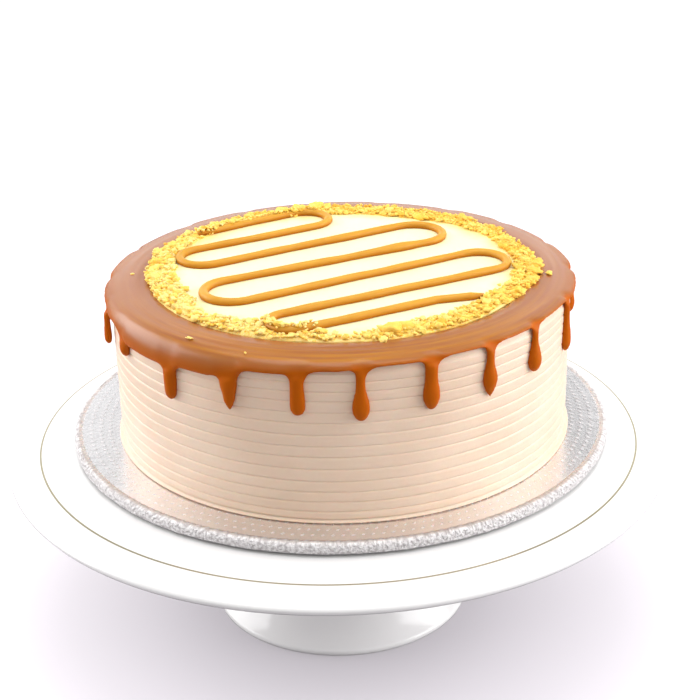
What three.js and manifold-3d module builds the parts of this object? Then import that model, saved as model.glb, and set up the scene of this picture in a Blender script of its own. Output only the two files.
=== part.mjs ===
// A round mousse cake on a foil-covered board, standing on a footed plate.
// Millimetres, +Z up, +X to the right of the front view, the front looks along +Y.
// The origin is the centre of the foot's underside, on the table.

import * as THREE from 'three';
import { mergeVertices } from 'three/addons/utils/BufferGeometryUtils.js';
import Module from 'manifold-3d';

const wasm = await Module();
wasm.setup();

// ---- driving dimensions -------------------------------------------------

const CLEARANCE = 0.3;            // air left between pieces that rest on each other

// flat facets round each turned piece
const PLATE_SIDES = 52;
const BOARD_SIDES = 50;
const CAKE_SIDES = 50;
const GLAZE_SIDES = 54;
const CREAM_SIDES = 48;

// footed plate, one piece of white porcelain
const PLATE_RADIUS = 156.2;
const PLATE_TOP = 92.5;           // height of the flat middle
const PLATE_FLAT_RADIUS = 122;
const PLATE_THICKNESS = 4.6;
const GOLD_LINE_RADIUS = 141.3;   // where the shoulder is at its fullest
const GOLD_LINE_HEIGHT = 89.6;
const RIM_HEIGHT = 86.2;          // height of the rounded rim's outermost point
const RIM_ROUNDING = 1.9;
const FOOT_RADIUS = 62.6;
const FOOT_RING_HEIGHT = 3.2;
const FOOT_RING_WIDTH = 5;
const NECK_RADIUS = 30;
const NECK_HEIGHT = 60;
const HOLLOW_HEIGHT = 56;         // top of the empty space under the foot

// foil-covered board under the cake
const BOARD_CENTRE = [1.4, 0.8];
const BOARD_RADIUS = 127;
const BOARD_THICKNESS = 5.5;
const BOARD_ROUNDING = 1.6;

// the cake and its combed side
const CAKE_CENTRE = [2.8, -3.5];
const CAKE_RADIUS = 104.7;
const CAKE_TOP = 169.6;
const RIDGE_COUNT = 14;
const RIDGE_DEPTH = 1.3;
const RIDGE_CREST_AT = 0.4;       // share of a ridge's height below its crest
const CAKE_EDGE_ROUNDING = 3;

// white cream disc on the top
const CREAM_RADIUS = 86;
const CREAM_TOP = 172.2;
const CREAM_EDGE_DROP = 0.7;

// caramel glaze round the edge, with its drips
const GLAZE_RADIUS = 107.9;
const GLAZE_TOP = 171.9;
const GLAZE_EDGE_TOP = 171.3;
const GLAZE_LIP_THICKNESS = 2;
const DRIP_NECK_WIDTH = 4.8;
const DRIP_BULB_WIDTH = 7.2;
const DRIP_ROOT_WIDTH = 9.5;      // where it runs out of the lip
const DRIP_DEPTH_SHARE = 0.75;    // depth of a drip against its width
const DRIP_SEAT = 0.9;            // from the cake's side out to a drip's middle
const LIP_BLEND = 5;              // degrees over which the lip changes height at a drip
// each drip, going round from the left: its place in degrees (front is -90), the height
// of its tip, the height of the glaze's lower edge from it to the next drip, and how far
// it hangs clear of the side where it does; the ones at the back carry on in the same way
const DRIPS = [
  [-167.5, 146.6, 163.5, 1.9], [-152.8, 151.2, 159.4], [-133, 143.6, 160.6], [-116.2, 145.6, 165.6],
  [-100.3, 147.1, 167.4], [-86.5, 144.5, 168.6], [-70.7, 146.1, 169], [-55.5, 144.9, 169.2],
  [-40.3, 147.7, 169.8], [-21.2, 143.7, 167.6], [-1, 147.5, 168.4], [19, 144, 167], [38, 148, 168.2],
  [57, 143.5, 166.8], [77, 146, 168], [97, 148, 167], [117, 143.5, 168], [137, 146.5, 166.5],
  [158, 144, 167.4], [178, 148, 165.8],
];

// caramel piping: seven passes joined by half-round turns, across lines tilted from +X;
// the last pass bends down to its end
const PIPING_TILT = 26;
const PIPING_WIDTH = 4.2;
const PIPING_HEIGHT = 3.8;
const PIPING_SINK = 0.8;
const PIPING_START = [-40, 74.5];
const PIPING_BEND = [16, -60];
const PIPING_END = [36.6, -65];
// each turn: how far along the lines its centre is, and the two passes that it joins
const PIPING_TURNS = [
  [14, 80, 55.8], [-50, 53.3, 30.3], [50.2, 34.9, 6.8], [-55.2, 7.5, -19.7], [57, -15.5, -41.1],
  [-48.6, -41.2, -60.4],
];

// crumbs round the cream's edge
const CRUMB_COUNT = 62;
const CRUMB_RING_INNER = 75;
const CRUMB_RING_OUTER = 84;
const CRUMB_SIZE = [2.1, 4.0];    // smallest and largest half width
const CRUMB_SINK = 1.3;           // how deep the flat underside sits in the cream
const CRUMB_GAP_AZIMUTH = -93;    // the ring is almost bare at the front
const CRUMB_GAP_HALF = 9;

// ---- tools for round and joined solids ----------------------------------

function revolve(profile, segments, centre = [0, 0]) {
  const points = profile.map(([radius, height]) => new THREE.Vector2(radius, height));
  const geometry = new THREE.LatheGeometry(points, segments);
  geometry.rotateX(Math.PI / 2);
  geometry.translate(centre[0], centre[1], 0);
  return geometry;
}

function arc(centreRadius, centreHeight, size, fromDegrees, toDegrees, steps) {
  const points = [];
  for (let i = 0; i <= steps; i += 1) {
    const angle = THREE.MathUtils.degToRad(fromDegrees + (toDegrees - fromDegrees) * i / steps);
    points.push([centreRadius + size * Math.cos(angle), centreHeight + size * Math.sin(angle)]);
  }
  return points;
}

function curveThrough(points, steps) {
  const curve = new THREE.SplineCurve(points.map(([x, y]) => new THREE.Vector2(x, y)));
  return curve.getSpacedPoints(steps).map((point) => [point.x, point.y]);
}

function toSolid(geometry) {
  const bare = geometry.clone();
  bare.deleteAttribute('normal');
  bare.deleteAttribute('uv');
  const merged = mergeVertices(bare, 1e-4);
  const corners = merged.index.array;
  const kept = [];
  for (let i = 0; i < corners.length; i += 3) {
    const [a, b, c] = [corners[i], corners[i + 1], corners[i + 2]];
    if (a !== b && b !== c && a !== c) kept.push(a, b, c);
  }
  return new wasm.Manifold(new wasm.Mesh({
    numProp: 3,
    vertProperties: new Float32Array(merged.attributes.position.array),
    triVerts: new Uint32Array(kept),
  }));
}

function toGeometry(solid) {
  const mesh = solid.getMesh();
  const geometry = new THREE.BufferGeometry();
  geometry.setAttribute('position', new THREE.BufferAttribute(mesh.vertProperties, 3));
  geometry.setIndex(new THREE.BufferAttribute(mesh.triVerts, 1));
  return geometry;
}

function joinAll(solids) {
  let layer = solids;
  while (layer.length > 1) {
    const next = [];
    for (let i = 0; i < layer.length; i += 2) {
      next.push(i + 1 < layer.length ? layer[i].add(layer[i + 1]) : layer[i]);
    }
    layer = next;
  }
  return layer[0];
}

function seededRandom(seed) {
  let state = seed;
  return () => {
    state = (Math.imul(state, 1664525) + 1013904223) >>> 0;
    return state / 4294967296;
  };
}

// ---- footed plate -------------------------------------------------------

function plateGeometry() {
  const rim = arc(PLATE_RADIUS - RIM_ROUNDING, RIM_HEIGHT, RIM_ROUNDING, -80, 70, 3);
  const underside = PLATE_TOP - PLATE_THICKNESS;
  const pedestal = curveThrough([
    [FOOT_RADIUS - 1.6, FOOT_RING_HEIGHT + 1], [51, 16], [37, 37], [NECK_RADIUS, NECK_HEIGHT],
    [35, 74], [54, underside - 5], [88, underside - 3.5],
  ], 8);
  const hollow = curveThrough([
    [26, HOLLOW_HEIGHT - 2], [32, 37], [45, 17], [FOOT_RADIUS - FOOT_RING_WIDTH - 1, 3],
  ], 3);
  return revolve([
    [0, HOLLOW_HEIGHT],
    [18, HOLLOW_HEIGHT],
    ...hollow,
    [FOOT_RADIUS - FOOT_RING_WIDTH, 0],
    [FOOT_RADIUS - 1, 0],
    [FOOT_RADIUS, 1],
    [FOOT_RADIUS, FOOT_RING_HEIGHT],
    ...pedestal,
    ...rim,
    [GOLD_LINE_RADIUS, GOLD_LINE_HEIGHT],
    [PLATE_FLAT_RADIUS + 8, PLATE_TOP - 0.7],
    [PLATE_FLAT_RADIUS, PLATE_TOP],
    [0, PLATE_TOP],
  ], PLATE_SIDES);
}

// ---- foil-covered board -------------------------------------------------

function boardGeometry() {
  const bottom = PLATE_TOP + CLEARANCE;
  const top = bottom + BOARD_THICKNESS;
  const edge = BOARD_RADIUS - BOARD_ROUNDING;
  return revolve([
    [0, bottom],
    ...arc(edge, bottom + BOARD_ROUNDING, BOARD_ROUNDING, -90, 0, 2),
    ...arc(edge, top - BOARD_ROUNDING, BOARD_ROUNDING, 0, 90, 2),
    [0, top],
  ], BOARD_SIDES, BOARD_CENTRE);
}

// ---- cake ---------------------------------------------------------------

const CAKE_BOTTOM = PLATE_TOP + CLEARANCE + BOARD_THICKNESS + CLEARANCE;
const RIDGE_PITCH = (CAKE_TOP - CAKE_EDGE_ROUNDING - CAKE_BOTTOM) / RIDGE_COUNT;

function cakeGeometry() {
  const side = [];
  for (let i = 0; i < RIDGE_COUNT; i += 1) {
    const foot = CAKE_BOTTOM + i * RIDGE_PITCH;
    side.push([CAKE_RADIUS - RIDGE_DEPTH, foot]);
    side.push([CAKE_RADIUS, foot + RIDGE_PITCH * RIDGE_CREST_AT]);
  }
  const edge = arc(CAKE_RADIUS - RIDGE_DEPTH - CAKE_EDGE_ROUNDING, CAKE_TOP - CAKE_EDGE_ROUNDING,
    CAKE_EDGE_ROUNDING, 0, 90, 2);
  return revolve([[0, CAKE_BOTTOM], ...side, ...edge, [0, CAKE_TOP]], CAKE_SIDES, CAKE_CENTRE);
}

// ---- caramel glaze ------------------------------------------------------

// height of the glaze's lower edge at one place round the cake
function lipHeight(degrees) {
  const count = DRIPS.length;
  const turned = DRIPS[0][0] + THREE.MathUtils.euclideanModulo(degrees - DRIPS[0][0], 360);
  const i = DRIPS.findLastIndex((drop) => drop[0] <= turned);
  const next = DRIPS[(i + 1) % count];
  const before = DRIPS[(i + count - 1) % count][2];
  const [start, , here] = DRIPS[i];
  const end = next[0] + (i === count - 1 ? 360 : 0);
  const fromStart = 0.5 + 0.5 * THREE.MathUtils.smoothstep(turned - start, 0, LIP_BLEND);
  const fromEnd = 0.5 + 0.5 * THREE.MathUtils.smoothstep(end - turned, 0, LIP_BLEND);
  return here + (before - here) * (1 - fromStart) + (next[2] - here) * (1 - fromEnd);
}

// the glaze lies on the cake along this line: up its side, over the corner and in along the top
const GLAZE_INNER_RADIUS = CAKE_RADIUS + CLEARANCE;
const GLAZE_INNER_CORNER = CAKE_TOP - CAKE_EDGE_ROUNDING + CLEARANCE;
const GLAZE_LEVEL_LIP = GLAZE_INNER_CORNER - GLAZE_LIP_THICKNESS;
const GLAZE_UNDERSIDE = CAKE_TOP + CLEARANCE;
const GLAZE_INNER_SHOULDER = CAKE_RADIUS - CAKE_EDGE_ROUNDING;

function glazeRing() {
  const profile = [
    [CREAM_RADIUS + CLEARANCE, GLAZE_UNDERSIDE],
    [CREAM_RADIUS + CLEARANCE, GLAZE_TOP - 0.4],
    [CREAM_RADIUS + 1.6, GLAZE_TOP],
    [GLAZE_RADIUS - 5, GLAZE_EDGE_TOP],
    [GLAZE_RADIUS - 1.6, GLAZE_EDGE_TOP - 1.5],
    [GLAZE_RADIUS, GLAZE_LEVEL_LIP + 1],
    [GLAZE_RADIUS - 0.5, GLAZE_LEVEL_LIP],
    [GLAZE_INNER_RADIUS, GLAZE_LEVEL_LIP],
    [GLAZE_INNER_RADIUS, GLAZE_INNER_CORNER],
    [GLAZE_INNER_SHOULDER, GLAZE_UNDERSIDE],
    [CREAM_RADIUS + CLEARANCE, GLAZE_UNDERSIDE],
  ];
  const ring = revolve(profile.reverse(), GLAZE_SIDES);
  const position = ring.attributes.position;
  for (let i = 0; i < position.count; i += 1) {
    const [x, y, z] = [position.getX(i), position.getY(i), position.getZ(i)];
    const outside = Math.hypot(x, y) > GLAZE_INNER_RADIUS + 0.1 || z < GLAZE_LEVEL_LIP + 0.1;
    const below = (GLAZE_EDGE_TOP - z) / (GLAZE_EDGE_TOP - GLAZE_LEVEL_LIP);
    const share = outside ? THREE.MathUtils.clamp(below, 0, 1) : 0;
    const degrees = THREE.MathUtils.radToDeg(Math.atan2(y, x));
    position.setZ(i, z + (lipHeight(degrees) - GLAZE_LEVEL_LIP) * share);
  }
  return toSolid(ring);
}

// a teardrop that hangs from the lip: a neck above a rounder end
function drip([degrees, tip, , clear = 0]) {
  const top = lipHeight(degrees) + 2;
  const neck = DRIP_NECK_WIDTH / 2;
  const bulb = DRIP_BULB_WIDTH / 2;
  const shape = revolve([
    [0, tip],
    [bulb * 0.75, tip + bulb * 0.5],
    [bulb, tip + bulb * 1.6],
    [neck, tip + (top - tip) * 0.62],
    [neck, top - 3.6],
    [DRIP_ROOT_WIDTH / 2, top - 1.2],
    [0, top - 1.2],
  ], 6);
  shape.scale(DRIP_DEPTH_SHARE, 1, 1);
  shape.translate(CAKE_RADIUS + DRIP_SEAT + clear, 0, 0);
  shape.rotateZ(THREE.MathUtils.degToRad(degrees));
  return toSolid(shape);
}

function glazeGeometry() {
  const whole = joinAll([glazeRing(), ...DRIPS.map(drip)]);
  const cakeSpace = toSolid(revolve([
    [0, CAKE_BOTTOM],
    [GLAZE_INNER_RADIUS, CAKE_BOTTOM],
    [GLAZE_INNER_RADIUS, GLAZE_INNER_CORNER],
    [GLAZE_INNER_SHOULDER, GLAZE_UNDERSIDE],
    [0, GLAZE_UNDERSIDE],
  ], GLAZE_SIDES));
  const glaze = toGeometry(whole.subtract(cakeSpace));
  glaze.translate(CAKE_CENTRE[0], CAKE_CENTRE[1], 0);
  return glaze;
}

// ---- cream disc with its piping and crumbs ------------------------------

function creamDisc() {
  const bottom = CAKE_TOP + CLEARANCE;
  const edgeTop = CREAM_TOP - CREAM_EDGE_DROP;
  return toSolid(revolve([
    [0, bottom],
    [CREAM_RADIUS, bottom],
    [CREAM_RADIUS, edgeTop],
    [CREAM_RADIUS - 4, CREAM_TOP],
    [0, CREAM_TOP],
  ], CREAM_SIDES));
}

// the line along the middle of the piping, in the cake's own plane
function pipingPath() {
  const points = [PIPING_START];
  for (const [along, first, second] of PIPING_TURNS) {
    const size = Math.abs(first - second) / 2;
    const outward = along > 0 ? 1 : -1;
    for (let i = 0; i <= 4; i += 1) {
      const angle = Math.PI * (0.5 - i / 4);
      points.push([along + outward * size * Math.cos(angle), (first + second) / 2 + size * Math.sin(angle)]);
    }
  }
  points.push(PIPING_BEND, PIPING_END);
  const height = CREAM_TOP + PIPING_HEIGHT / 2 - PIPING_SINK;
  const tilt = THREE.MathUtils.degToRad(PIPING_TILT);
  const turned = points.map(([along, across]) => new THREE.Vector3(
    along * Math.cos(tilt) - across * Math.sin(tilt),
    along * Math.sin(tilt) + across * Math.cos(tilt),
    height));
  return new THREE.CatmullRomCurve3(turned, false, 'centripetal');
}

function piping() {
  const section = new THREE.Shape();
  const sides = 5;
  for (let i = 0; i < sides; i += 1) {
    const angle = 2 * Math.PI * i / sides;
    const x = PIPING_HEIGHT / 2 * Math.cos(angle);
    const y = PIPING_WIDTH / 2 * Math.sin(angle);
    if (i === 0) section.moveTo(x, y);
    else section.lineTo(x, y);
  }
  return toSolid(new THREE.ExtrudeGeometry(section, { steps: 98, extrudePath: pipingPath() }));
}

function crumbs() {
  const random = seededRandom(7);
  const between = (low, high) => low + (high - low) * random();
  const solids = [];
  for (let i = 0; i < CRUMB_COUNT; i += 1) {
    const span = 360 - 2 * CRUMB_GAP_HALF;
    const degrees = CRUMB_GAP_AZIMUTH + CRUMB_GAP_HALF + span * (i + between(0.1, 0.9)) / CRUMB_COUNT;
    const radius = between(CRUMB_RING_INNER, CRUMB_RING_OUTER);
    const size = between(...CRUMB_SIZE);
    const crumb = new THREE.CylinderGeometry(between(0.45, 0.8), 1, between(1.1, 1.7), 5);
    crumb.rotateX(Math.PI / 2 + between(-0.5, 0.5));
    crumb.rotateZ(between(0, Math.PI));
    crumb.scale(size * between(0.8, 1.1), size * between(0.7, 1), size * between(0.8, 1.1));
    const angle = THREE.MathUtils.degToRad(degrees);
    const reach = Math.min(radius, CREAM_RADIUS - size - CLEARANCE);
    crumb.translate(reach * Math.cos(angle), reach * Math.sin(angle), CREAM_TOP + size * 0.3);
    const position = crumb.attributes.position;
    for (let v = 0; v < position.count; v += 1) {
      position.setZ(v, Math.max(position.getZ(v), CREAM_TOP - CRUMB_SINK));
    }
    solids.push(toSolid(crumb));
  }
  return joinAll(solids);
}

function creamTopGeometry() {
  const geometry = toGeometry(joinAll([creamDisc(), piping(), crumbs()]));
  geometry.translate(CAKE_CENTRE[0], CAKE_CENTRE[1], 0);
  return geometry;
}

// ---- the whole ----------------------------------------------------------

function piece(name, geometry, colour, roughness, metalness = 0) {
  const material = new THREE.MeshStandardMaterial({ color: colour, roughness, metalness });
  const mesh = new THREE.Mesh(geometry, material);
  mesh.name = name;
  return mesh;
}

const cake = new THREE.Group();
cake.add(piece('cake_plate', plateGeometry(), 0xf7f5f3, 0.15));
cake.add(piece('cake_board', boardGeometry(), 0xc4bab5, 0.35, 0.9));
cake.add(piece('cake_body', cakeGeometry(), 0xe3c6a8, 0.6));
cake.add(piece('caramel_glaze', glazeGeometry(), 0xb9722a, 0.2));
cake.add(piece('cream_top', creamTopGeometry(), 0xfffbf0, 0.5));

export default cake;
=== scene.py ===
"""A round mousse cake with caramel drips, on a foil board on a white footed plate."""

import math
import random

import bmesh
import bpy
from mathutils import Matrix, Vector, noise


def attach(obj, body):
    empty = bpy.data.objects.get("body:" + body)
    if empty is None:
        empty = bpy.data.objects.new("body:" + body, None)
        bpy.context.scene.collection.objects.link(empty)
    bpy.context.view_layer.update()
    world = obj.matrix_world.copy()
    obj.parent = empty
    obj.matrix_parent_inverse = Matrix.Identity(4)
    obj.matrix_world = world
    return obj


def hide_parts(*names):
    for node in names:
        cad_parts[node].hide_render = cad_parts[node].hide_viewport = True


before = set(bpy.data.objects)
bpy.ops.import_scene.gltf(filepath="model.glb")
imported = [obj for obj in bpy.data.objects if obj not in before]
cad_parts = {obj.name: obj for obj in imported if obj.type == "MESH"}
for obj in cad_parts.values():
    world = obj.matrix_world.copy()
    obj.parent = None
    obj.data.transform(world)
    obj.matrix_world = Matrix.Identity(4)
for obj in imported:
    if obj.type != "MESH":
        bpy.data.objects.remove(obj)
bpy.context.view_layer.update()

# ---- Footed plate ------------------------------------------------------------
# One piece of white glazed porcelain: a shallow plate thrown on a hollow, waisted foot.
# A thin gold line is painted round its shoulder and fired on.

PLATE_UNDERSIDE = 0.0879
GOLD_LINE_RADIUS = 0.1413
GOLD_LINE_HALF_WIDTH = 0.00042
GOLD_LINE_COLOUR = (0.35, 0.315, 0.205)

PLATE_PROFILE = (
    (0.0, 0.056), (0.012, 0.056), (0.019, 0.0556), (0.0245, 0.0535), (0.028, 0.047), (0.032, 0.037),
    (0.038, 0.0265), (0.045, 0.017), (0.0515, 0.0085), (0.0562, 0.0026), (0.0571, 0.0007),
    (0.0578, 0.0), (0.0612, 0.0), (0.0623, 0.0005), (0.0626, 0.0014), (0.0625, 0.0027),
    (0.0618, 0.0034), (0.0608, 0.0042), (0.0568, 0.0087), (0.0505, 0.0168), (0.0432, 0.0272),
    (0.037, 0.038), (0.0322, 0.050), (0.0305, 0.060), (0.0318, 0.069), (0.0372, 0.0765),
    (0.048, 0.0815), (0.064, 0.0838), (0.088, 0.0843), (0.120, 0.0845), (0.145, 0.0844),
    (0.1537, 0.0842), (0.1552, 0.0846), (0.15604, 0.0857), (0.1560, 0.0871), (0.1548, 0.0879),
    (0.1525, 0.0882), (0.1465, 0.0889), (0.1413, 0.0897), (0.1355, 0.0908), (0.129, 0.0919),
    (0.1225, 0.09245), (0.118, 0.0925), (0.06, 0.0925), (0.0, 0.0925),
)


def turned(profile, steps, centre=(0.0, 0.0)):
    """A solid turned about an upright axis, from its outline of (radius, height) points."""
    bm = bmesh.new()
    points = [bm.verts.new((radius, 0, height)) for radius, height in profile]
    lines = [bm.edges.new(pair) for pair in zip(points, points[1:])]
    bmesh.ops.spin(bm, geom=points + lines, cent=(0, 0, 0), axis=(0, 0, 1),
                   angle=math.tau, steps=steps, use_merge=True)
    bmesh.ops.remove_doubles(bm, verts=bm.verts, dist=1e-6)
    bmesh.ops.recalc_face_normals(bm, faces=bm.faces)
    bmesh.ops.translate(bm, verts=bm.verts, vec=(*centre, 0))
    return bm


def piece(name, bm, finish, nodes):
    """Makes the mesh an object that rides on the body and stands for its CAD nodes."""
    mesh = bpy.data.meshes.new(name)
    bm.to_mesh(mesh)
    bm.free()
    mesh.shade_smooth()
    mesh.materials.append(finish)
    made = bpy.data.objects.new(name, mesh)
    bpy.context.scene.collection.objects.link(made)
    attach(made, "root")
    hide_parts(*nodes)


def add_math(tree, operation, first, second=None, third=None):
    """One sum on the surface; each value is a number or another node's output."""
    node = tree.nodes.new("ShaderNodeMath")
    node.operation = operation
    for socket, value in zip(node.inputs, (first, second, third)):
        if isinstance(value, (int, float)):
            socket.default_value = value
        elif value:
            tree.links.new(value, socket)
    return node.outputs[0]


def add_range(tree, value, start, end, low=0.0, high=1.0):
    """Turns one span of values into another, without going past its ends."""
    node = tree.nodes.new("ShaderNodeMapRange")
    for name, number in (("From Min", start), ("From Max", end), ("To Min", low), ("To Max", high)):
        node.inputs[name].default_value = number
    tree.links.new(value, node.inputs["Value"])
    return node.outputs["Result"]


def add_mix(tree, share, first, second):
    """Goes from the first colour to the second; each is given or another node's output."""
    node = tree.nodes.new("ShaderNodeMix")
    node.data_type = "RGBA"
    tree.links.new(share, node.inputs["Factor"])
    for name, colour in (("A", first), ("B", second)):
        if isinstance(colour, tuple):
            node.inputs[name].default_value = (*colour, 1)
        else:
            tree.links.new(colour, node.inputs[name])
    return node.outputs["Result"]


def add_noise(tree, vector, scale, detail, stretch=None):
    """Smooth noise, drawn out along an axis where a stretch is given."""
    if stretch:
        mapping = tree.nodes.new("ShaderNodeMapping")
        mapping.inputs["Scale"].default_value = stretch
        tree.links.new(vector, mapping.inputs["Vector"])
        vector = mapping.outputs["Vector"]
    node = tree.nodes.new("ShaderNodeTexNoise")
    node.inputs["Scale"].default_value = scale
    node.inputs["Detail"].default_value = detail
    tree.links.new(vector, node.inputs["Vector"])
    return node.outputs["Fac"]


def object_place(tree):
    """Where the surface lies in the piece's own space."""
    return tree.nodes.new("ShaderNodeTexCoord").outputs["Object"]


def uneven_tone_group():
    """Two tones in soft patches, with a fine grain, and the grain's height."""
    group = bpy.data.node_groups.new("uneven_tone", "ShaderNodeTree")
    for label, kind in (("Vector", "NodeSocketVector"), ("Light", "NodeSocketColor"),
                        ("Dark", "NodeSocketColor"), ("Patch Scale", "NodeSocketFloat"),
                        ("Grain Scale", "NodeSocketFloat"), ("Grain", "NodeSocketFloat")):
        group.interface.new_socket(label, in_out="INPUT", socket_type=kind)
    group.interface.new_socket("Color", in_out="OUTPUT", socket_type="NodeSocketColor")
    group.interface.new_socket("Height", in_out="OUTPUT", socket_type="NodeSocketFloat")
    given = group.nodes.new("NodeGroupInput").outputs
    result = group.nodes.new("NodeGroupOutput").inputs
    patches = add_noise(group, given["Vector"], 1, 4)
    grain = add_noise(group, given["Vector"], 1, 6)
    group.links.new(given["Patch Scale"], patches.node.inputs["Scale"])
    group.links.new(given["Grain Scale"], grain.node.inputs["Scale"])
    share = add_math(group, "MULTIPLY_ADD", add_math(group, "SUBTRACT", grain, 0.5), given["Grain"],
                     add_range(group, patches, 0.3, 0.7))
    share.node.use_clamp = True
    group.links.new(add_mix(group, share, given["Dark"], given["Light"]), result["Color"])
    group.links.new(grain, result["Height"])
    return group


def round_place_group():
    """Where a point lies round an upright axis: its angle, its radius and its height."""
    group = bpy.data.node_groups.new("round_place", "ShaderNodeTree")
    group.interface.new_socket("Vector", in_out="INPUT", socket_type="NodeSocketVector")
    group.interface.new_socket("Centre", in_out="INPUT", socket_type="NodeSocketVector")
    for label in ("Angle", "Radius", "Height"):
        group.interface.new_socket(label, in_out="OUTPUT", socket_type="NodeSocketFloat")
    given = group.nodes.new("NodeGroupInput").outputs
    result = group.nodes.new("NodeGroupOutput").inputs
    away = group.nodes.new("ShaderNodeVectorMath")
    away.operation = "SUBTRACT"
    group.links.new(given["Vector"], away.inputs[0])
    group.links.new(given["Centre"], away.inputs[1])
    part = group.nodes.new("ShaderNodeSeparateXYZ")
    group.links.new(away.outputs["Vector"], part.inputs["Vector"])
    x, y = part.outputs["X"], part.outputs["Y"]
    group.links.new(add_math(group, "ARCTAN2", y, x), result["Angle"])
    squares = add_math(group, "MULTIPLY_ADD", x, x, add_math(group, "MULTIPLY", y, y))
    group.links.new(add_math(group, "SQRT", squares), result["Radius"])
    group.links.new(part.outputs["Z"], result["Height"])
    return group


uneven_tone = uneven_tone_group()
round_place = round_place_group()


def new_finish(name, roughness):
    """A material with its node tree and shader, to which a piece's pattern is added."""
    finish = bpy.data.materials.new(name)
    finish.use_nodes = True
    shader = finish.node_tree.nodes["Principled BSDF"]
    shader.inputs["Roughness"].default_value = roughness
    return finish, finish.node_tree, shader


def add_tone(tree, light, dark, patch_scale, grain_scale, grain):
    """Places the two-tone pattern in a material."""
    tone = tree.nodes.new("ShaderNodeGroup")
    tone.node_tree = uneven_tone
    tone.inputs["Light"].default_value = (*light, 1)
    tone.inputs["Dark"].default_value = (*dark, 1)
    tone.inputs["Patch Scale"].default_value = patch_scale
    tone.inputs["Grain Scale"].default_value = grain_scale
    tone.inputs["Grain"].default_value = grain
    tree.links.new(object_place(tree), tone.inputs["Vector"])
    return tone.outputs["Color"], tone.outputs["Height"]


def add_round_place(tree, centre=(0.0, 0.0)):
    """Angle, radius and height of the surface round one centre."""
    place = tree.nodes.new("ShaderNodeGroup")
    place.node_tree = round_place
    place.inputs["Centre"].default_value = (*centre, 0)
    tree.links.new(object_place(tree), place.inputs["Vector"])
    return place.outputs["Angle"], place.outputs["Radius"], place.outputs["Height"]


def add_bump(tree, shader, height, distance, under=None):
    """Raises the surface by a height, over another bump where one is given."""
    bump = tree.nodes.new("ShaderNodeBump")
    bump.inputs["Strength"].default_value = 1
    bump.inputs["Distance"].default_value = distance
    tree.links.new(height, bump.inputs["Height"])
    if under:
        tree.links.new(under.outputs["Normal"], bump.inputs["Normal"])
    tree.links.new(bump.outputs["Normal"], shader.inputs["Normal"])
    return bump


def porcelain_finish():
    """White glaze with faint waviness, and the gold line at its radius on the upper side."""
    finish, tree, shader = new_finish("white_porcelain_glaze", 0.12)
    tone, wave = add_tone(tree, (0.83, 0.82, 0.815), (0.80, 0.79, 0.785), 9, 70, 0.4)
    _, radius, height = add_round_place(tree)
    on_line = add_math(tree, "COMPARE", radius, GOLD_LINE_RADIUS, GOLD_LINE_HALF_WIDTH)
    gold = add_math(tree, "MULTIPLY", on_line, add_math(tree, "GREATER_THAN", height, PLATE_UNDERSIDE))
    tree.links.new(add_mix(tree, gold, tone, GOLD_LINE_COLOUR), shader.inputs["Base Color"])
    tree.links.new(add_math(tree, "MULTIPLY", gold, 0.3), shader.inputs["Metallic"])
    add_bump(tree, shader, wave, 0.00004)
    return finish


piece("footed_plate", turned(PLATE_PROFILE, 160), porcelain_finish(),
      ["cake_plate"])

# ---- Foil board --------------------------------------------------------------
# A round of grey board wrapped in silver foil, the cake's carrying board.
# The foil is pressed with a fine pattern on top and gathered in pleats round the edge.

BOARD_CENTRE = (0.0014, 0.0008)
BOARD_RADIUS = 0.127
BOARD_BOTTOM = 0.0928
BOARD_TOP = 0.0983
# below this height the board's edge is painted dark: painted shade of the crevice where it meets the
# plate
CREVICE_SHADE_TOP = 0.0935
CREVICE_SHADE_COLOUR = (0.16, 0.145, 0.15)
# the pleats start at this radius, and are full a little further out
PLEATS_FROM = 0.1205
PLEATS_BLEND = 0.004
PLEAT_DEPTH = 0.0005
# from this height up they dent the fold too, which lies a little lower than the flat top
FOLD_FROM = 0.0975
FOLD_DENT = 0.00028
FOLD_SETTLE = 0.00004
DIAMONDS_ROUND = 90
DIAMOND_SLOPES = (1050, -380)

BOARD_PROFILE = (
    (0.0, BOARD_BOTTOM), (0.110, BOARD_BOTTOM), (0.1238, BOARD_BOTTOM),
    (0.1250, 0.0932), (0.1262, 0.0936), (0.12665, 0.0943), (0.1267, 0.0951), (0.1267, 0.0960),
    (0.1266, 0.0969), (0.1262, 0.09765), (0.1253, 0.09815), (0.1240, BOARD_TOP),
    (0.1215, BOARD_TOP), (0.112, BOARD_TOP), (0.095, BOARD_TOP), (0.0, BOARD_TOP),
)


def board_mesh():
    """The board, its edge pushed in and out by the foil's pleats."""
    bm = turned(BOARD_PROFILE, 540)
    for vert in bm.verts:
        radius = vert.co.xy.length
        if radius < PLEATS_FROM:
            continue
        round_the_edge = math.atan2(vert.co.y, vert.co.x) * radius
        pleat = noise.noise(Vector((round_the_edge * 420, vert.co.z * 90, 0)))
        crease = noise.noise(Vector((round_the_edge * 130, vert.co.z * 260, 5)))
        share = min(1, (radius - PLEATS_FROM) / PLEATS_BLEND)
        vert.co.xy *= 1 - PLEAT_DEPTH * share * (0.9 - 0.6 * pleat - 0.5 * crease) / radius
        if vert.co.z > FOLD_FROM:
            vert.co.z += min(0, FOLD_DENT * share * (pleat + 0.6 * crease) - FOLD_SETTLE)
    bmesh.ops.translate(bm, verts=bm.verts, vec=(*BOARD_CENTRE, 0))
    return bm


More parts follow.
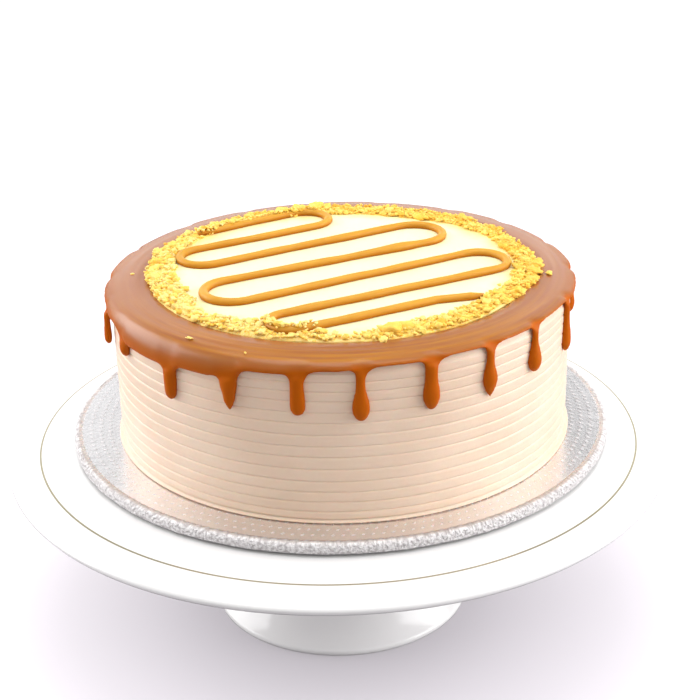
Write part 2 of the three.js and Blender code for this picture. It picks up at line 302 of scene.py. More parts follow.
def foil_finish():
    """Satin foil with small pressed diamonds and faint dents, crumpled and matt at the edge, where light
    and dark flecks along the creases are painted glints and painted shade.
    Below the fold a dark band is painted shade of the crevice where the board meets the plate."""
    finish, tree, shader = new_finish("silver_foil_wrap", 0.26)
    tone, dents = add_tone(tree, (0.87, 0.86, 0.875), (0.80, 0.79, 0.805), 60, 900, 0.5)
    angle, radius, height = add_round_place(tree, BOARD_CENTRE)
    # painted shade: a dark band at the foot of the edge for the crevice against the plate, with no
    # metallic sheen there
    crevice_shade = add_range(tree, height, CREVICE_SHADE_TOP, CREVICE_SHADE_TOP + 0.0002, 1, 0)
    at_edge = add_range(tree, radius, BOARD_RADIUS - 0.0045, BOARD_RADIUS - 0.0025)
    round_the_edge = tree.nodes.new("ShaderNodeCombineXYZ")
    tree.links.new(angle, round_the_edge.inputs["X"])
    tree.links.new(height, round_the_edge.inputs["Z"])
    creases = add_noise(tree, round_the_edge.outputs["Vector"], 1, 5, stretch=(90, 1, 800))
    # painted glints and painted shade: light and dark flecks along the creases of the matt crumpled edge
    crease_glints_and_shade = add_mix(tree, add_range(tree, creases, 0.38, 0.60),
                       (0.58, 0.54, 0.545), (0.98, 0.95, 0.955))
    foil = add_mix(tree, at_edge, tone, crease_glints_and_shade)
    tree.links.new(add_mix(tree, crevice_shade, foil, CREVICE_SHADE_COLOUR), shader.inputs["Base Color"])
    lines = []
    for slope in DIAMOND_SLOPES:
        across = add_math(tree, "MULTIPLY", radius, slope)
        turns = add_math(tree, "MULTIPLY_ADD", angle, DIAMONDS_ROUND, across)
        lines.append(add_math(tree, "SINE", turns))
    raised = add_range(tree, add_math(tree, "MULTIPLY", *lines), 0.25, 0.95)
    sheen = add_math(tree, "MULTIPLY", add_range(tree, at_edge, 0, 1, 1, 0.12),
                     add_range(tree, raised, 0, 1, 0.93, 0.68))
    tree.links.new(add_math(tree, "MULTIPLY", sheen, add_math(tree, "SUBTRACT", 1, crevice_shade)),
                   shader.inputs["Metallic"])
    diamonds = add_bump(tree, shader, raised, 0.00004)
    dented = add_bump(tree, shader, dents, 0.00007, under=diamonds)
    add_bump(tree, shader, add_math(tree, "MULTIPLY", creases, at_edge), 0.0035, under=dented)
    return finish


piece("foil_board", board_mesh(), foil_finish(), ["cake_board"])

# ---- Cake --------------------------------------------------------------------
# A round mousse cake coated in coffee cream. The coat is drawn round with a notched comb,
# which leaves level ridges with thin valleys, and a little cream is pressed out at the foot.

CAKE_CENTRE = (0.0028, -0.0035)
CAKE_RADIUS = 0.1047
CAKE_BOTTOM = 0.0986
CAKE_SIDE_TOP = 0.1666
CAKE_TOP = 0.1696
# the round of the top edge, and the radius of its middle
TOP_EDGE_ROUND = 0.003
TOP_EDGE_MIDDLE = 0.1010
# the cream pressed out at the foot: radius, height above the bottom
PRESSED_FOOT = ((0.1055, 0.0), (0.1060, 0.0004), (0.1056, 0.0009), (0.1036, 0.0011))
VALLEY_DEPTH = 0.0005
RIDGE_VALLEYS = (0.0998, 0.1033, 0.1078, 0.1125, 0.1174, 0.1228, 0.1282, 0.1331, 0.1383, 0.1436,
                 0.1483, 0.1532, 0.1576, 0.1617, 0.1656)
# one ridge, from the valley under it: share of its height, share of the valley's depth
RIDGE_OUTLINE = ((0.0, 1.0), (0.04, 0.65), (0.09, 0.22), (0.16, 0.06), (0.38, 0.0), (0.66, 0.02),
                 (0.85, 0.08), (0.93, 0.28), (0.97, 0.65))
# the comb's unsteadiness, outside this radius and above this height: how far in the side lies
# on the whole, how far it drifts and ripples, and how far a ridge wanders up and down
UNSTEADY_RADIUS = 0.102
UNSTEADY_HEIGHT = 0.0996
SIDE_EASE = 0.00015
SIDE_DRIFT = 0.00022
SIDE_RIPPLE = 0.00014
RIDGE_WANDER = 0.00030


def cake_mesh():
    """The cake, its ridges a little uneven in height and depth."""
    profile = [(0, CAKE_BOTTOM)]
    profile += [(radius, CAKE_BOTTOM + height) for radius, height in PRESSED_FOOT]
    for low, high in zip(RIDGE_VALLEYS, RIDGE_VALLEYS[1:]):
        for along, depth in RIDGE_OUTLINE:
            profile.append((CAKE_RADIUS - VALLEY_DEPTH * depth, low + (high - low) * along))
    for step in range(6):
        angle = math.pi / 2 * step / 5
        profile.append((TOP_EDGE_MIDDLE + TOP_EDGE_ROUND * math.cos(angle),
                        CAKE_SIDE_TOP + TOP_EDGE_ROUND * math.sin(angle)))
    profile.append((0, CAKE_TOP))
    bm = turned(profile, 360)
    for vert in bm.verts:
        radius = vert.co.xy.length
        if radius < UNSTEADY_RADIUS or not UNSTEADY_HEIGHT < vert.co.z < CAKE_SIDE_TOP:
            continue
        way = vert.co.xy.normalized()
        drift = noise.noise(Vector((way.x * 3.2, way.y * 3.2, vert.co.z * 55)))
        ripple = noise.noise(Vector((way.x * 14, way.y * 14, vert.co.z * 190)))
        vert.co.xy = way * (radius - SIDE_EASE + SIDE_DRIFT * drift + SIDE_RIPPLE * ripple)
        wander = noise.noise(Vector((way.x * 2.4, way.y * 2.4, vert.co.z * 120 + 9)))
        vert.co.z += RIDGE_WANDER * wander
    bmesh.ops.translate(bm, verts=bm.verts, vec=(*CAKE_CENTRE, 0))
    return bm


def coffee_cream_finish():
    """Smooth whipped cream, pale coffee, with soft patches and the comb's fine strokes."""
    finish, tree, shader = new_finish("coffee_cream_coat", 0.42)
    shader.inputs["Subsurface Weight"].default_value = 0.25
    shader.inputs["Subsurface Scale"].default_value = 0.002
    tone, pores = add_tone(tree, (0.83, 0.645, 0.50), (0.765, 0.575, 0.43), 22, 700, 0.35)
    tree.links.new(tone, shader.inputs["Base Color"])
    strokes = add_noise(tree, object_place(tree), 1, 3, stretch=(40, 40, 1400))
    combed = add_bump(tree, shader, strokes, 0.00015)
    add_bump(tree, shader, pores, 0.00006, under=combed)
    return finish


piece("mousse_cake", cake_mesh(), coffee_cream_finish(), ["cake_body"])

# ---- Caramel glaze -----------------------------------------------------------
# Caramel poured over the cake's edge: it lies round the top, rolls over in a thick lip
# and runs down the side in drips, each with a neck above a rounder end.

GLAZE_LIP_LEVEL = 0.1650
GLAZE_ROLL_TOP = 0.1712
# the ring's own wall against the cake: its radius, how far to each side of it points still
# belong to it, and the height up to which it stays put where the lip rises
GLAZE_WALL = 0.1046
GLAZE_WALL_INSIDE = 0.0002
GLAZE_WALL_OUTSIDE = 0.0004
GLAZE_WALL_TOP = 0.1690
# how much thinner the lip grows where it is drawn down into a drip, wholly from this drop on,
# and only below this height over its level
TONGUE_THINNING = 0.26
TONGUE_DROP = 0.0015
TONGUE_RISE = 0.001
# and how much thinner it grows where it ends high up, wholly from this rise on
HIGH_LIP_THINNING = 0.26
HIGH_LIP_RISE = 0.005
# the lip's level passes from one to the next within this many degrees of a drip
LIP_BLEND = 5
# the lip runs into each drip in a round corner, tighter on one side
CORNER_BEFORE = 0.003
CORNER_AFTER = 0.0052

GLAZE_PROFILE = (
    (0.0858, 0.1700), (0.0858, 0.1711), (0.0866, 0.1716), (0.0885, 0.17185), (0.0925, 0.1720),
    (0.0960, 0.1718), (0.0995, 0.1714), (0.1025, 0.1708), (0.1047, 0.1699), (0.1063, 0.1687),
    (0.1074, 0.1673), (0.1078, 0.1661), (0.1077, 0.1653), (0.1069, 0.1648), (0.1058, 0.1648),
    (0.1049, 0.1653), (0.1046, 0.1666), (0.1045, 0.1683), (0.1035, 0.1696), (0.1005, 0.1700),
    (0.0858, 0.1700),
)

# round from the left, with the front at -90: place in degrees, height of the tip,
# height of the lip from here to the next drip, width of the neck and of the end,
# and how far the end is drawn to a point
DRIPS = (
    (-167.5, 0.1466, 0.1635, 0.0042, 0.0054, 0.1), (-152.8, 0.1512, 0.1588, 0.0066, 0.0070, 0.1),
    (-133.0, 0.1436, 0.1606, 0.0070, 0.0066, 0.1), (-116.2, 0.1456, 0.1656, 0.0080, 0.0062, 0.9),
    (-100.3, 0.1471, 0.1674, 0.0062, 0.0068, 0.1), (-86.5, 0.1445, 0.1686, 0.0043, 0.0078, 0.3),
    (-70.7, 0.1461, 0.1690, 0.0058, 0.0078, 0.4), (-55.5, 0.1449, 0.1692, 0.0043, 0.0074, 0.9),
    (-40.3, 0.1477, 0.1698, 0.0040, 0.0080, 0.2), (-21.2, 0.1437, 0.1676, 0.0044, 0.0068, 0.3),
    (-1.0, 0.1475, 0.1684, 0.0046, 0.0074, 0.2), (19.0, 0.1440, 0.1670, 0.0044, 0.0076, 0.4),
    (38.0, 0.1480, 0.1682, 0.0060, 0.0066, 0.1), (57.0, 0.1435, 0.1668, 0.0044, 0.0078, 0.3),
    (77.0, 0.1460, 0.1680, 0.0054, 0.0072, 0.2), (97.0, 0.1480, 0.1670, 0.0044, 0.0070, 0.6),
    (117.0, 0.1435, 0.1680, 0.0046, 0.0078, 0.2), (137.0, 0.1465, 0.1665, 0.0062, 0.0070, 0.3),
    (158.0, 0.1440, 0.1674, 0.0044, 0.0076, 0.1), (178.0, 0.1480, 0.1658, 0.0048, 0.0070, 0.2),
)
# a drip's root lies this far inside the lip, and never higher than this
DRIP_ROOT = 0.002
DRIP_TOP = 0.1682
DRIP_STEPS = 24
# its middle hangs this far outside the cake, and it is this thick for its width
DRIP_OUTSET = 0.0008
DRIP_FLATNESS = 0.72
# the first drip hangs from the edge of the lip, this far clear of the cake
FIRST_DRIP_CLEAR = 0.0019
MELT_GRAIN = 0.00075
MELT_ROUNDS = 9
# the knife's marks lie on the top alone, from this height
KNIFE_MARKS_FROM = 0.1682
KNIFE_MARKS_BLEND = 0.0015
KNIFE_MARK_DEPTH = 0.00016
KNIFE_MARK_COLOUR = (0.46, 0.175, 0.012)
# the hollow that the knife left round the top: its radius, and how far from it the marks
# are at their strongest and at their weakest
HOLLOW_RADIUS = 0.0985
HOLLOW_STRONG = 0.004
HOLLOW_WEAK = 0.0075


def smoothstep(value, end):
    """Goes smoothly from nought to one as the value goes from nought to the end."""
    share = min(max(value / end, 0), 1)
    return share * share * (3 - 2 * share)


def lip_level(degrees):
    """Height of the glaze's lower edge at one place, as it would be without drips."""
    turned_by = DRIPS[0][0] + (degrees - DRIPS[0][0]) % 360
    index = max(i for i, drop in enumerate(DRIPS) if drop[0] <= turned_by)
    after = DRIPS[(index + 1) % len(DRIPS)]
    end = after[0] + (360 if index == len(DRIPS) - 1 else 0)
    here = DRIPS[index][2]
    from_start = 0.5 + 0.5 * smoothstep(turned_by - DRIPS[index][0], LIP_BLEND)
    from_end = 0.5 + 0.5 * smoothstep(end - turned_by, LIP_BLEND)
    before = DRIPS[index - 1][2]
    return here + (before - here) * (1 - from_start) + (after[2] - here) * (1 - from_end)


def lip_height(degrees):
    """Height of the glaze's lower edge at one place: drawn down in a curve beside a drip."""
    for drop in DRIPS:
        across = math.radians((degrees - drop[0] + 180) % 360 - 180) * CAKE_RADIUS
        share = min(max(0.5 + across / drop[3], 0), 1)
        corner = CORNER_BEFORE + (CORNER_AFTER - CORNER_BEFORE) * share
        inside = corner - max(abs(across) - drop[3] / 2, 0)
        if inside > 0:
            return lip_level(degrees) - (corner - math.sqrt(corner ** 2 - inside ** 2))
    return lip_level(degrees)


def join_into(bm, part):
    """Adds one mesh's faces to another's."""
    carrier = bpy.data.meshes.new("carrier")
    part.to_mesh(carrier)
    part.free()
    bm.from_mesh(carrier)
    bpy.data.meshes.remove(carrier)


def drip_mesh(degrees, tip, neck, end, point, clear):
    """One drip, hanging against the cake's side, or a little clear of it, from inside the lip."""
    reach = min(lip_height(degrees) + DRIP_ROOT, DRIP_TOP) - tip
    end_height = end * (0.55 + 0.75 * point)
    profile = [(0.0, tip)]
    for step in range(1, DRIP_STEPS + 1):
        height = reach * step / DRIP_STEPS
        up = min(height / end_height, 1)
        round_end = math.sqrt(1 - (1 - up) ** 2)
        drawn_end = 1 - (1 - up) ** 1.7
        width = end * (round_end + (drawn_end - round_end) * point)
        width += (neck - end) * smoothstep(height - end_height, reach * 0.78 - end_height)
        profile.append((width / 2, tip + height))
    profile.append((0.0, tip + reach))
    drip = turned(profile, 20)
    for vert in drip.verts:
        vert.co.x *= DRIP_FLATNESS
    bmesh.ops.translate(drip, verts=drip.verts, vec=(CAKE_RADIUS + DRIP_OUTSET + clear, 0, 0))
    bmesh.ops.rotate(drip, verts=drip.verts, cent=(0, 0, 0),
                     matrix=Matrix.Rotation(math.radians(degrees), 3, "Z"))
    return drip


def melted(bm, grain, rounds):
    """Melts touching solids into one skin and smooths where they meet."""
    mesh = bpy.data.meshes.new("unmelted")
    bm.to_mesh(mesh)
    bm.free()
    holder = bpy.data.objects.new("unmelted", mesh)
    bpy.context.scene.collection.objects.link(holder)
    remesh = holder.modifiers.new("melt", "REMESH")
    remesh.mode = "VOXEL"
    remesh.voxel_size = grain
    view = bpy.context.evaluated_depsgraph_get()
    skin = bpy.data.meshes.new_from_object(holder.evaluated_get(view))
    bpy.data.objects.remove(holder)
    bpy.data.meshes.remove(mesh)
    bm = bmesh.new()
    bm.from_mesh(skin)
    bpy.data.meshes.remove(skin)
    for _ in range(rounds):
        bmesh.ops.smooth_vert(bm, verts=bm.verts, factor=0.5, use_axis_x=True, use_axis_y=True,
                              use_axis_z=True)
    return bm


def glaze_mesh():
    """The ring and its drips, run together."""
    bm = turned(GLAZE_PROFILE, 720)
    for vert in bm.verts:
        share = (GLAZE_ROLL_TOP - vert.co.z) / (GLAZE_ROLL_TOP - GLAZE_LIP_LEVEL)
        outside = vert.co.xy.length - GLAZE_WALL
        if outside > -GLAZE_WALL_INSIDE and share > 0:
            degrees = math.degrees(math.atan2(vert.co.y, vert.co.x))
            level, lip = lip_level(degrees), lip_height(degrees)
            lift = lip - GLAZE_LIP_LEVEL
            height = vert.co.z + lift * min(share, 1) ** (1 if lift > 0 else 2)
            if outside < GLAZE_WALL_OUTSIDE and vert.co.z < GLAZE_WALL_TOP:
                height = min(height, max(lip, vert.co.z))
            vert.co.z = height
            thinner = TONGUE_THINNING * smoothstep(level - lip, TONGUE_DROP)
            thinner *= smoothstep(level + TONGUE_RISE - vert.co.z, TONGUE_DROP)
            thinner += HIGH_LIP_THINNING * smoothstep(level - GLAZE_LIP_LEVEL, HIGH_LIP_RISE)
            vert.co.xy -= vert.co.xy.normalized() * max(outside, 0) * thinner
    for number, (degrees, tip, _, neck, end, point) in enumerate(DRIPS):
        clear = 0 if number else FIRST_DRIP_CLEAR
        join_into(bm, drip_mesh(degrees, tip, neck, end, point, clear))
    bm = melted(bm, MELT_GRAIN, MELT_ROUNDS)
    above_lip = bm.verts.layers.float.new("above_lip")
    for vert in bm.verts:
        level = lip_level(math.degrees(math.atan2(vert.co.y, vert.co.x)))
        vert[above_lip] = (vert.co.z - level) / (GLAZE_ROLL_TOP - level)
        way = vert.co.xy.normalized()
        mark = noise.noise(Vector((way.x * 2.2, way.y * 2.2, vert.co.xy.length * 380)))
        mark *= smoothstep(vert.co.z - KNIFE_MARKS_FROM, KNIFE_MARKS_BLEND)
        vert.co.z += KNIFE_MARK_DEPTH * mark
    bmesh.ops.translate(bm, verts=bm.verts, vec=(*CAKE_CENTRE, 0))
    return bm


def caramel_finish(name, light, dark, deep_and_shade, light_from, gloss, streaks):
    """Caramel: light and glossy on top, in a deeper colour and dull where it hangs; on the piped bead
    that darker colour, on its lower sides, is painted shade.
    The mesh tells how far up each point is, from nought at the lip to one on the top. The streaks are the
    long amber marks of the knife that spread it round, strongest in the hollow at the front."""
    finish, tree, shader = new_finish(name, 0.45)
    shader.inputs["Specular IOR Level"].default_value = 0.06
    shader.inputs["Coat Roughness"].default_value = 0.27
    shader.inputs["Subsurface Weight"].default_value = 0.3
    shader.inputs["Subsurface Radius"].default_value = (1.0, 0.4, 0.1)
    shader.inputs["Subsurface Scale"].default_value = 0.002
    tone, grain = add_tone(tree, light, dark, 30, 500, 0.3)
    angle, radius, _ = add_round_place(tree, CAKE_CENTRE)
    above_lip = tree.nodes.new("ShaderNodeAttribute")
    above_lip.attribute_name = "above_lip"
    on_top = add_range(tree, above_lip.outputs["Fac"], light_from, light_from + 0.6)
    tree.links.new(add_range(tree, above_lip.outputs["Fac"], 0.4, 1, 0.03, gloss + 0.03),
                   shader.inputs["Coat Weight"])
    along = tree.nodes.new("ShaderNodeCombineXYZ")
    tree.links.new(add_math(tree, "COSINE", angle), along.inputs["X"])
    to_back = add_math(tree, "SINE", angle)
    tree.links.new(to_back, along.inputs["Y"])
    tree.links.new(radius, along.inputs["Z"])
    marks = add_noise(tree, along.outputs["Vector"], 1, 3, stretch=(2.2, 2.2, 480))
    from_hollow = add_math(tree, "ABSOLUTE", add_math(tree, "SUBTRACT", radius, HOLLOW_RADIUS))
    hollow = add_range(tree, from_hollow, HOLLOW_STRONG, HOLLOW_WEAK, streaks, streaks * 0.3)
    hollow = add_math(tree, "MULTIPLY", hollow, add_range(tree, to_back, -0.75, -0.3, 1, 0.2))
    marked = add_math(tree, "MULTIPLY", add_range(tree, marks, 0.35, 0.65, 1, 0), hollow)
    streaked = add_mix(tree, marked, tone, KNIFE_MARK_COLOUR)
    # the darker colour: the hanging caramel's own on the glaze, painted shade on the piping's lower sides
    tree.links.new(add_mix(tree, on_top, deep_and_shade, streaked), shader.inputs["Base Color"])
    add_bump(tree, shader, grain, 0.00003)
    return finish


piece("poured_glaze", glaze_mesh(),
      caramel_finish("poured_caramel", (0.34, 0.116, 0.032), (0.31, 0.096, 0.024),
                     (0.455, 0.095, 0.001), 0.05, 1, 0.8),
      ["caramel_glaze"])

# ---- White cream -------------------------------------------------------------
# A disc of whipped cream spread level on the cake inside the glaze.
# Crumb dust has soaked into its edge and turned it yellow.

CREAM_LEVEL = 0.1721
# from this height up the cream is faintly uneven
CREAM_UNEVEN_FROM = 0.1716
CREAM_UNEVENNESS = 0.00012

# the edge is rounded; inside it the top is level, in rings 10 mm apart
CREAM_PROFILE = (
    (0.0, 0.1699), (0.0845, 0.1699), (0.0855, 0.1702), (0.0857, 0.1711), (0.0855, 0.17155),
    (0.0845, 0.17185), (0.0810, 0.17205), (0.077, CREAM_LEVEL),
    *((ring / 100, CREAM_LEVEL) for ring in range(7, -1, -1)),
)


def cream_mesh():
    """The disc, its top faintly uneven from the spreading knife."""
    bm = turned(CREAM_PROFILE, 180)
    for vert in bm.verts:
        if vert.co.z > CREAM_UNEVEN_FROM:
            spread = noise.noise(Vector((vert.co.x * 60, vert.co.y * 60, 3)))
            vert.co.z += CREAM_UNEVENNESS * spread
    bmesh.ops.translate(bm, verts=bm.verts, vec=(*CAKE_CENTRE, 0))
    return bm


def white_cream_finish():
    """White cream, yellow towards the edge in uneven patches."""
    finish, tree, shader = new_finish("white_whipped_cream", 0.5)
    shader.inputs["Subsurface Weight"].default_value = 0.2
    shader.inputs["Subsurface Scale"].default_value = 0.002
    tone, pores = add_tone(tree, (0.96, 0.94, 0.60), (0.95, 0.91, 0.53), 26, 600, 0.3)
    _, radius, _ = add_round_place(tree, CAKE_CENTRE)
    patches = add_noise(tree, object_place(tree), 90, 4)
    soaked = add_range(tree, add_math(tree, "MULTIPLY_ADD", patches, 0.016, radius), 0.079, 0.091)
    tree.links.new(add_mix(tree, soaked, tone, (0.96, 0.72, 0.24)), shader.inputs["Base Color"])
    add_bump(tree, shader, pores, 0.00008)
    return finish


piece("white_cream_disc", cream_mesh(), white_cream_finish(), ["cream_top"])

# ---- Caramel piping ----------------------------------------------------------
# One bead of thick caramel, piped to and fro over the cream in a single line
# from its hidden start at the back to a drawn-out end at the front right.

PIPING_TILT = 26
PIPING_HALF_WIDTH = 0.0021
PIPING_AXIS = 0.1732
PIPING_BOTTOM = 0.1716
PIPING_FLATNESS = 0.92
# how far the bead wavers aside, how much its width varies, and how it tapers at both ends
PIPING_WAVER = 0.0005
PIPING_UNEVENNESS = 0.16
PIPING_TAPER = 0.45
PIPING_TAPER_STEP = 0.18
PIPING_SPACING = 0.002
PIPING_TURN_STEPS = 12
PIPING_START = (-0.0400, 0.0745)
PIPING_BEND = (0.0160, -0.0600)
PIPING_END = (0.0366, -0.0650)
# each turn: how far along the lines its centre is, and the two passes that it joins
PIPING_TURNS = (
    (0.0140, 0.0800, 0.0558), (-0.0500, 0.0533, 0.0303), (0.0502, 0.0349, 0.0068),
    (-0.0552, 0.0075, -0.0197), (0.0570, -0.0155, -0.0411), (-0.0486, -0.0412, -0.0604),
)
# where the hand paused and the bead is thicker
BLOB_PLACE = (0.034, 0.0080)
BLOB_SIZE = (0.009, 0.006)
BLOB_SWELL = 0.3


def piping_line():
    """Points along the bead's middle, before the tilt."""
    points = [PIPING_START]
    for along, first, second in PIPING_TURNS:
        size = abs(first - second) / 2
        outward = math.copysign(1, along)
        for step in range(PIPING_TURN_STEPS + 1):
            angle = math.pi * (0.5 - step / PIPING_TURN_STEPS)
            points.append((along + outward * size * math.cos(angle),
                           (first + second) / 2 + size * math.sin(angle)))
    points += [PIPING_BEND, PIPING_END]
    line = []
    for (x0, y0), (x1, y1) in zip(points, points[1:]):
        steps = max(1, round(math.hypot(x1 - x0, y1 - y0) / PIPING_SPACING))
        line += [(x0 + (x1 - x0) * i / steps, y0 + (y1 - y0) * i / steps) for i in range(steps)]
    return line + [PIPING_END]


def piping_mesh():
    """The bead as a round tube, flattened where it lies in the cream."""
    line = piping_line()
    curve = bpy.data.curves.new("piping", "CURVE")
    curve.dimensions = "3D"
    curve.bevel_depth = PIPING_HALF_WIDTH
    curve.bevel_resolution = 4
    curve.use_fill_caps = True
    path = curve.splines.new("POLY")
    path.points.add(len(line) - 1)
    tilt = Matrix.Rotation(math.radians(PIPING_TILT), 2)
    for index, (point, (along, across)) in enumerate(zip(path.points, line)):
        waver = PIPING_WAVER * noise.noise(Vector((along * 45, across * 45, 2)))
        place = tilt @ Vector((along, across + waver))
        point.co = (*place, PIPING_AXIS, 1)
        thick = 1 + PIPING_UNEVENNESS * noise.noise(Vector((along * 70, across * 70, 7)))
        blob = math.hypot((along - BLOB_PLACE[0]) / BLOB_SIZE[0], (across - BLOB_PLACE[1]) / BLOB_SIZE[1])
        point.radius = thick + BLOB_SWELL * math.exp(-blob * blob)
        to_end = min(index, len(line) - 1 - index)
        point.radius *= min(1, PIPING_TAPER + PIPING_TAPER_STEP * to_end)
    holder = bpy.data.objects.new("piping", curve)
    bpy.context.scene.collection.objects.link(holder)
    view = bpy.context.evaluated_depsgraph_get()
    tube = bpy.data.meshes.new_from_object(holder.evaluated_get(view))
    bpy.data.objects.remove(holder)
    bm = bmesh.new()
    bm.from_mesh(tube)
    bpy.data.meshes.remove(tube)
    bmesh.ops.remove_doubles(bm, verts=bm.verts, dist=1e-6)
    above_lip = bm.verts.layers.float.new("above_lip")
    for vert in bm.verts:
        flattened = PIPING_AXIS + (vert.co.z - PIPING_AXIS) * PIPING_FLATNESS
        vert.co.z = max(PIPING_BOTTOM, flattened)
        vert[above_lip] = (vert.co.z - PIPING_BOTTOM) / (2 * (PIPING_AXIS - PIPING_BOTTOM))
    bmesh.ops.recalc_face_normals(bm, faces=bm.faces)
    bmesh.ops.translate(bm, verts=bm.verts, vec=(*CAKE_CENTRE, 0))
    return bm


# painted shade: the bead's lower sides take the darker caramel colour, for the shade under its rounded
# sides
piece("caramel_piping", piping_mesh(),
      caramel_finish("piped_caramel", (0.64, 0.335, 0.045), (0.56, 0.275, 0.03),
                     (0.40, 0.13, 0.006), 0.35, 0.25, 0),
      ["cream_top"])

# ---- Crumbs ------------------------------------------------------------------
# Yellow sponge rubbed to crumbs and scattered in a ring over the join of cream and glaze,
# thick at the sides and almost none at the front, with a few strays.

# round from the left back: place in degrees, inner edge, outer edge, how thickly they lie
CRUMB_BAND = (
    (-180, 0.0755, 0.0890, 1.0), (-165, 0.0735, 0.0868, 1.0), (-150, 0.0730, 0.0865, 1.0),
    (-143, 0.0785, 0.0868, 0.8), (-137, 0.0800, 0.0868, 0.8), (-131, 0.0765, 0.0868, 1.0),
    (-120, 0.0745, 0.0865, 1.0), (-108, 0.0730, 0.0862, 0.9), (-100, 0.0725, 0.0858, 0.6),
    (-94, 0.0800, 0.0850, 0.3), (-88, 0.0830, 0.0848, 0.12), (-83, 0.0770, 0.0866, 0.5),
    (-76, 0.0755, 0.0866, 0.9), (-66, 0.0750, 0.0860, 1.0), (-56, 0.0748, 0.0862, 0.95),
    (-46, 0.0750, 0.0855, 0.9), (-37, 0.0755, 0.0848, 0.95), (-29, 0.0750, 0.0872, 1.0),
    (-19, 0.0780, 0.0892, 1.0), (-9, 0.0785, 0.0906, 1.0), (0, 0.0803, 0.0912, 1.0),
    (10, 0.0800, 0.0890, 1.0), (20, 0.0800, 0.0893, 1.0), (32, 0.0808, 0.0912, 1.0),
    (46, 0.0800, 0.0918, 1.0), (60, 0.0775, 0.0912, 1.0), (88, 0.0775, 0.0910, 1.0),
    (101, 0.0790, 0.0920, 1.0), (120, 0.0790, 0.0915, 1.0), (138, 0.0800, 0.0915, 1.0),
    (156, 0.0808, 0.0900, 1.0), (168, 0.0785, 0.0900, 1.0), (180, 0.0755, 0.0890, 1.0),
)
# the strays and the large crumbs: place in degrees, radius, half width, and how brown they are
SINGLE_CRUMBS = (
    (-128.5, 0.1005, 0.0012, 0.2), (-112.5, 0.1022, 0.0006, 0.4), (-79.5, 0.0885, 0.0018, 0.2),
    (-9.0, 0.0950, 0.0016, 0.4), (-179.0, 0.0950, 0.0006, 0.3), (112.0, 0.0800, 0.0012, 0.2),
    (124.0, 0.0795, 0.0013, 0.2), (106.0, 0.0790, 0.0011, 0.2), (-75.8, 0.0808, 0.0036, 0.7),
    (-71.0, 0.0800, 0.0032, 0.6), (-68.0, 0.0835, 0.0024, 0.4), (-60.0, 0.0815, 0.0024, 1.2),
    (-54.0, 0.0825, 0.0024, 1.1), (-30.0, 0.0800, 0.0026, 0.3), (-26.0, 0.0858, 0.0028, 0.5),
    (-8.0, 0.0885, 0.0030, 0.6), (-3.0, 0.0895, 0.0028, 0.5), (46.0, 0.0890, 0.0030, 0.5),
    (93.5, 0.0885, 0.0030, 0.3), (97.0, 0.0890, 0.0038, 0.3), (103.0, 0.0890, 0.0034, 0.2),
    (109.0, 0.0890, 0.0032, 0.4), (135.0, 0.0880, 0.0030, 0.3), (157.0, 0.0870, 0.0028, 0.5),
    (172.0, 0.0860, 0.0028, 0.6), (178.0, 0.0855, 0.0028, 0.4), (-174.0, 0.0850, 0.0026, 0.3),
)
# how many, least and greatest half width, how finely each is made, how high they are heaped
CRUMB_SIZES = (
    (2300, 0.0005, 0.0009, 1, 0.0009), (1700, 0.0008, 0.0013, 1, 0.0011),
    (420, 0.0011, 0.0017, 2, 0.0009), (50, 0.0016, 0.0023, 2, 0.0004),
)
CRUMB_CEILING = 0.1768
CRUMB_RAGGEDNESS = 0.0016
# least and greatest length, width and height of a shape, and how far it is knocked about
CRUMB_STRETCH = ((0.8, 1.4), (0.6, 1.1), (0.4, 0.8))
CRUMB_BROKENNESS = 0.62
CRUMB_SHAPES = 14
LARGE_SHAPES = 9
# what they lie on: the cream out to this radius, then the glaze, which falls from its crest
CREAM_TOP = 0.1722
CREAM_OUT_TO = 0.082
GLAZE_TOP = 0.1719
GLAZE_CREST_RADIUS = 0.0985
GLAZE_FALL = 0.15
# the dust between them lies as a low rough bank, sunk a little into what is under it
BANK_STEPS = 1080
BANK_ROWS = 17
BANK_HEIGHT = 0.0013
BANK_SUNK = 0.0004
BANK_BOTTOM = 0.1706
BANK_RAGGEDNESS = 0.0013
# it is gone where the crumbs lie this thin, and whole where they lie this much thicker
BANK_GONE = 0.3
BANK_BLEND = 0.4


def crumb_band_at(degrees):
    """Inner edge, outer edge and thickness of the band at one place."""
    for (start, *low), (end, *high) in zip(CRUMB_BAND, CRUMB_BAND[1:]):
        if start <= degrees <= end:
            share = (degrees - start) / (end - start)
            return [a + (b - a) * share for a, b in zip(low, high)]


def surface_at(radius):
    """Height of the cream or the glaze at one radius."""
    if radius < CREAM_OUT_TO:
        return CREAM_TOP
    return GLAZE_TOP - GLAZE_FALL * max(0, radius - GLAZE_CREST_RADIUS)


def on_bead(bead, x, y):
    """Height of the piped bead under a place, or nought where there is none."""
    aside = min(math.hypot(x - point.x, y - point.y) for point in bead)
    if aside < PIPING_HALF_WIDTH:
        return PIPING_AXIS + 0.9 * math.sqrt(PIPING_HALF_WIDTH ** 2 - aside ** 2)
    return 0


